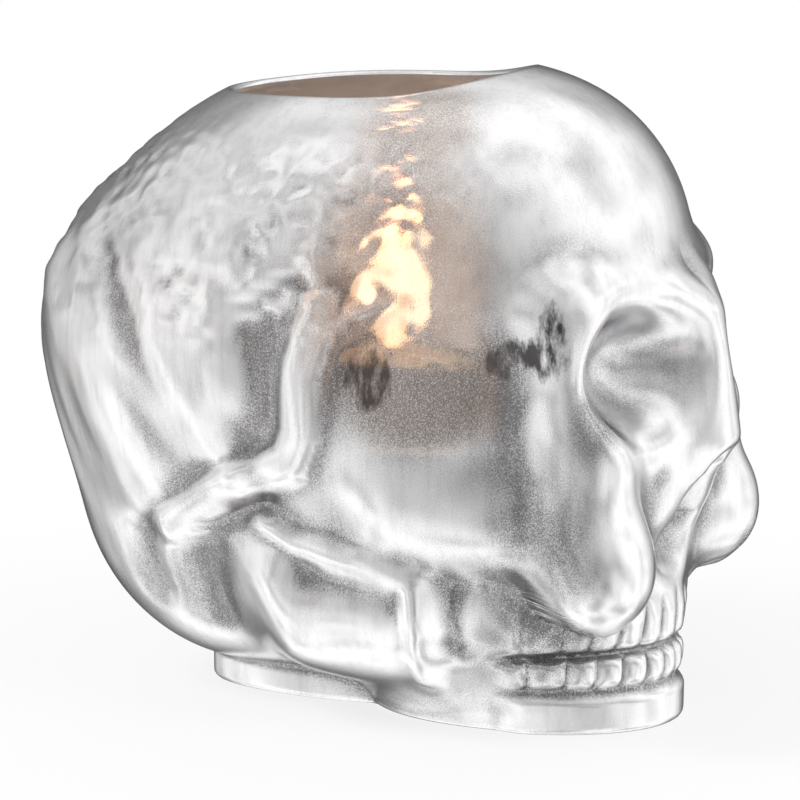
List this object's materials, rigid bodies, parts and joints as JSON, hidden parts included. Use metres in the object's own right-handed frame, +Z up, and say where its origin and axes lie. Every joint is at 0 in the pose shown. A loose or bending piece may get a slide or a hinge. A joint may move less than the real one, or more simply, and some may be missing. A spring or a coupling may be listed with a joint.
{
  "type": "skull candle holder",
  "caption": "Hollow silvered glass skull, open at the crown, that stands on a flat foot and holds a tea light in its well.",
  "frame": {"origin": "on the ground, at the middle of the skull's length and width", "axes": "+Z up, -Y the way the skull's face looks, +X the skull's own left"},
  "size_m": [0.1002, 0.1418, 0.1245],
  "materials": {
    "silvered_glass": "clear pressed glass with a thin, satin silver coat on its outside",
    "aluminium": "bright, pressed from thin sheet",
    "wax": "paraffin wax, molten on top",
    "wick": "waxed cotton, charred",
    "tinned_steel": "thin tinned sheet"
  },
  "bodies": {
    "root": {"skull": "silvered_glass", "tealight_cup": "aluminium", "wax": "wax", "wick": "wick", "wick_clip": "tinned_steel"}
  },
  "joints": []
}
